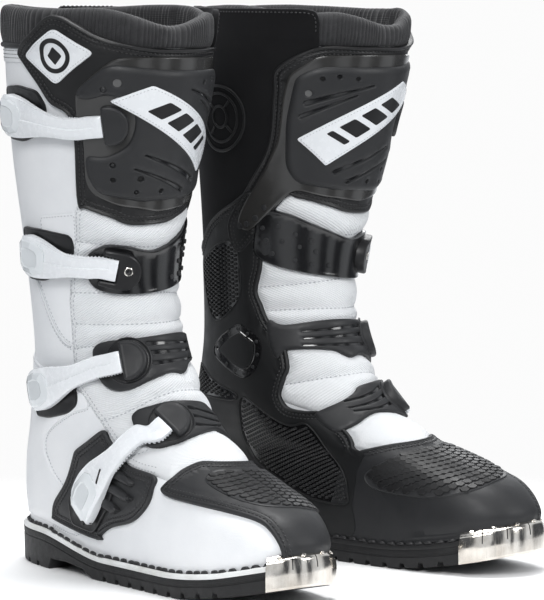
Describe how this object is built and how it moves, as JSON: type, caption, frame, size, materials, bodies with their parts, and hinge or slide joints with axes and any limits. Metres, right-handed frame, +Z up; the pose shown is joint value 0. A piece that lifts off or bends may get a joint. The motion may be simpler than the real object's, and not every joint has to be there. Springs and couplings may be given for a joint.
{
  "type": "motocross riding boots",
  "caption": "Pair of tall off-road riding boots with shin plates, steel toe caps and lever buckles over toothed straps.",
  "frame": {"origin": "middle of the pair on the ground", "axes": "+Z up, toes toward -Y, the wearer's right boot at -X"},
  "size_m": [0.3344, 0.3218, 0.4076],
  "materials": {
    "catch_1_left": "matte",
    "catch_1_right": "matte",
    "catch_2_left": "matte",
    "catch_2_right": "matte",
    "catch_3_left": "matte",
    "catch_3_right": "matte",
    "catch_4_left": "matte",
    "catch_4_right": "matte",
    "collar_left": "ribbed elastic textile",
    "collar_right": "ribbed elastic textile",
    "disc_1_left": "fine matte grain",
    "disc_1_right": "fine matte grain",
    "disc_2_left": "fine matte grain",
    "disc_2_right": "fine matte grain",
    "disc_3_left": "fine matte grain",
    "disc_3_right": "fine matte grain",
    "disc_4_left": "fine matte grain",
    "disc_4_right": "fine matte grain",
    "foot_shell_left": "coated leather, satin, with woven flex panels",
    "foot_shell_right": "coated leather, satin, with woven flex panels",
    "insole_left": "matte textile over foam",
    "insole_right": "matte textile over foam",
    "instep_plate_left": "satin moulded rubber",
    "instep_plate_right": "satin moulded rubber",
    "lever_1_left": "satin gloss",
    "lever_1_right": "satin gloss",
    "lever_2_left": "satin gloss",
    "lever_2_right": "satin gloss",
    "lever_3_left": "satin gloss",
    "lever_3_right": "satin gloss",
    "lever_4_left": "satin gloss",
    "lever_4_right": "satin gloss",
    "medial_guard_left": "suede",
    "medial_guard_right": "suede",
    "midsole_left": "satin white welt",
    "midsole_right": "satin white welt",
    "outsole_left": "matte moulded rubber with lugs",
    "outsole_right": "matte moulded rubber with lugs",
    "shaft_shell_left": "coated leather, satin, with woven flex panels",
    "shaft_shell_right": "coated leather, satin, with woven flex panels",
    "shin_plate_left": "satin moulded rubber",
    "shin_plate_right": "satin moulded rubber",
    "strap_1_left": "matte, toothed",
    "strap_1_right": "matte, toothed",
    "strap_2_left": "matte, toothed",
    "strap_2_right": "matte, toothed",
    "strap_3_left": "matte, toothed",
    "strap_3_right": "matte, toothed",
    "strap_4_left": "matte, toothed",
    "strap_4_right": "matte, toothed",
    "tab_2_left": "semi gloss",
    "tab_2_right": "semi gloss",
    "tab_3_left": "satin",
    "tab_3_right": "satin",
    "tab_4_left": "satin",
    "tab_4_right": "satin",
    "toe_guard_left": "bright, softly brushed",
    "toe_guard_right": "bright, softly brushed",
    "toe_overlay_left": "matte grained overlay",
    "toe_overlay_right": "matte grained overlay"
  },
  "bodies": {
    "boot_right": {"outsole_right": "outsole_right", "midsole_right": "midsole_right", "insole_right": "insole_right", "toe_guard_right": "toe_guard_right", "foot_shell_right": "foot_shell_right", "shaft_shell_right": "shaft_shell_right", "collar_right": "collar_right", "shin_plate_right": "shin_plate_right", "toe_overlay_right": "toe_overlay_right", "medial_guard_right": "medial_guard_right", "instep_plate_right": "instep_plate_right", "tab_2_right": "tab_2_right", "tab_3_right": "tab_3_right", "tab_4_right": "tab_4_right", "disc_1_right": "disc_1_right", "disc_2_right": "disc_2_right", "disc_3_right": "disc_3_right", "disc_4_right": "disc_4_right", "catch_1_right": "catch_1_right", "catch_2_right": "catch_2_right", "catch_3_right": "catch_3_right", "catch_4_right": "catch_4_right"},
    "strap_body_1_right": {"strap_1_right": "strap_1_right"},
    "lever_body_1_right": {"lever_1_right": "lever_1_right"},
    "strap_body_2_right": {"strap_2_right": "strap_2_right"},
    "lever_body_2_right": {"lever_2_right": "lever_2_right"},
    "strap_body_3_right": {"strap_3_right": "strap_3_right"},
    "lever_body_3_right": {"lever_3_right": "lever_3_right"},
    "strap_body_4_right": {"strap_4_right": "strap_4_right"},
    "lever_body_4_right": {"lever_4_right": "lever_4_right"},
    "boot_left": {"outsole_left": "outsole_left", "midsole_left": "midsole_left", "insole_left": "insole_left", "toe_guard_left": "toe_guard_left", "foot_shell_left": "foot_shell_left", "shaft_shell_left": "shaft_shell_left", "collar_left": "collar_left", "shin_plate_left": "shin_plate_left", "toe_overlay_left": "toe_overlay_left", "medial_guard_left": "medial_guard_left", "instep_plate_left": "instep_plate_left", "tab_2_left": "tab_2_left", "tab_3_left": "tab_3_left", "tab_4_left": "tab_4_left", "disc_1_left": "disc_1_left", "disc_2_left": "disc_2_left", "disc_3_left": "disc_3_left", "disc_4_left": "disc_4_left", "catch_1_left": "catch_1_left", "catch_2_left": "catch_2_left", "catch_3_left": "catch_3_left", "catch_4_left": "catch_4_left"},
    "strap_body_1_left": {"strap_1_left": "strap_1_left"},
    "lever_body_1_left": {"lever_1_left": "lever_1_left"},
    "strap_body_2_left": {"strap_2_left": "strap_2_left"},
    "lever_body_2_left": {"lever_2_left": "lever_2_left"},
    "strap_body_3_left": {"strap_3_left": "strap_3_left"},
    "lever_body_3_left": {"lever_3_left": "lever_3_left"},
    "strap_body_4_left": {"strap_4_left": "strap_4_left"},
    "lever_body_4_left": {"lever_4_left": "lever_4_left"}
  },
  "joints": [
    {"name": "left_boot_lift", "type": "slide", "parent": "boot_right", "child": "boot_left", "axis": [0, 0, 1], "range_m": [0, 0.15]},
    {"name": "strap_1_swing_right", "type": "hinge", "parent": "boot_right", "child": "strap_body_1_right", "pos_m": [-0.14711, 0.01273, 0.31989], "axis": [-0.2746, -0.0317, 0.961], "range_deg": [0, 50]},
    {"name": "lever_1_flip_right", "type": "hinge", "parent": "strap_body_1_right", "child": "lever_body_1_right", "pos_m": [-0.15709, 0.1002, 0.32886], "axis": [0.1525, 0.1069, -0.9825], "range_deg": [0, 85]},
    {"name": "strap_2_swing_right", "type": "hinge", "parent": "boot_right", "child": "strap_body_2_right", "pos_m": [-0.12535, 0.02217, 0.21873], "axis": [0.0125, -0.2613, 0.9652], "range_deg": [0, 50]},
    {"name": "lever_2_flip_right", "type": "hinge", "parent": "strap_body_2_right", "child": "lever_body_2_right", "pos_m": [-0.14344, 0.09591, 0.22919], "axis": [0.1959, 0.1547, -0.9683], "range_deg": [0, 85]},
    {"name": "strap_3_swing_right", "type": "hinge", "parent": "boot_right", "child": "strap_body_3_right", "pos_m": [-0.12468, 0.01988, 0.15555], "axis": [0.0692, 0.2393, 0.9685], "range_deg": [0, 50]},
    {"name": "lever_3_flip_right", "type": "hinge", "parent": "strap_body_3_right", "child": "lever_body_3_right", "pos_m": [-0.13005, 0.10448, 0.12826], "axis": [-0.0354, -0.2552, -0.9662], "range_deg": [0, 85]},
    {"name": "strap_4_swing_right", "type": "hinge", "parent": "boot_right", "child": "strap_body_4_right", "pos_m": [-0.11821, -0.02044, 0.11485], "axis": [0.1255, 0.681, 0.7214], "range_deg": [0, 50]},
    {"name": "lever_4_flip_right", "type": "hinge", "parent": "strap_body_4_right", "child": "lever_body_4_right", "pos_m": [-0.13647, 0.04533, 0.04943], "axis": [-0.115, -0.7874, -0.6057], "range_deg": [0, 85]},
    {"name": "strap_1_swing_left", "type": "hinge", "parent": "boot_left", "child": "strap_body_1_left", "pos_m": [0.14711, 0.01273, 0.31989], "axis": [-0.2746, 0.0317, -0.961], "range_deg": [0, 50]},
    {"name": "lever_1_flip_left", "type": "hinge", "parent": "strap_body_1_left", "child": "lever_body_1_left", "pos_m": [0.15709, 0.1002, 0.32886], "axis": [0.1525, -0.1069, 0.9825], "range_deg": [0, 85]},
    {"name": "strap_2_swing_left", "type": "hinge", "parent": "boot_left", "child": "strap_body_2_left", "pos_m": [0.12535, 0.02217, 0.21873], "axis": [0.0125, 0.2613, -0.9652], "range_deg": [0, 50]},
    {"name": "lever_2_flip_left", "type": "hinge", "parent": "strap_body_2_left", "child": "lever_body_2_left", "pos_m": [0.14344, 0.09591, 0.22919], "axis": [0.1959, -0.1547, 0.9683], "range_deg": [0, 85]},
    {"name": "strap_3_swing_left", "type": "hinge", "parent": "boot_left", "child": "strap_body_3_left", "pos_m": [0.12468, 0.01988, 0.15555], "axis": [0.0692, -0.2393, -0.9685], "range_deg": [0, 50]},
    {"name": "lever_3_flip_left", "type": "hinge", "parent": "strap_body_3_left", "child": "lever_body_3_left", "pos_m": [0.13005, 0.10448, 0.12826], "axis": [-0.0354, 0.2552, 0.9662], "range_deg": [0, 85]},
    {"name": "strap_4_swing_left", "type": "hinge", "parent": "boot_left", "child": "strap_body_4_left", "pos_m": [0.11821, -0.02044, 0.11485], "axis": [0.1255, -0.681, -0.7214], "range_deg": [0, 50]},
    {"name": "lever_4_flip_left", "type": "hinge", "parent": "strap_body_4_left", "child": "lever_body_4_left", "pos_m": [0.13647, 0.04533, 0.04943], "axis": [-0.115, 0.7874, 0.6057], "range_deg": [0, 85]}
  ]
}
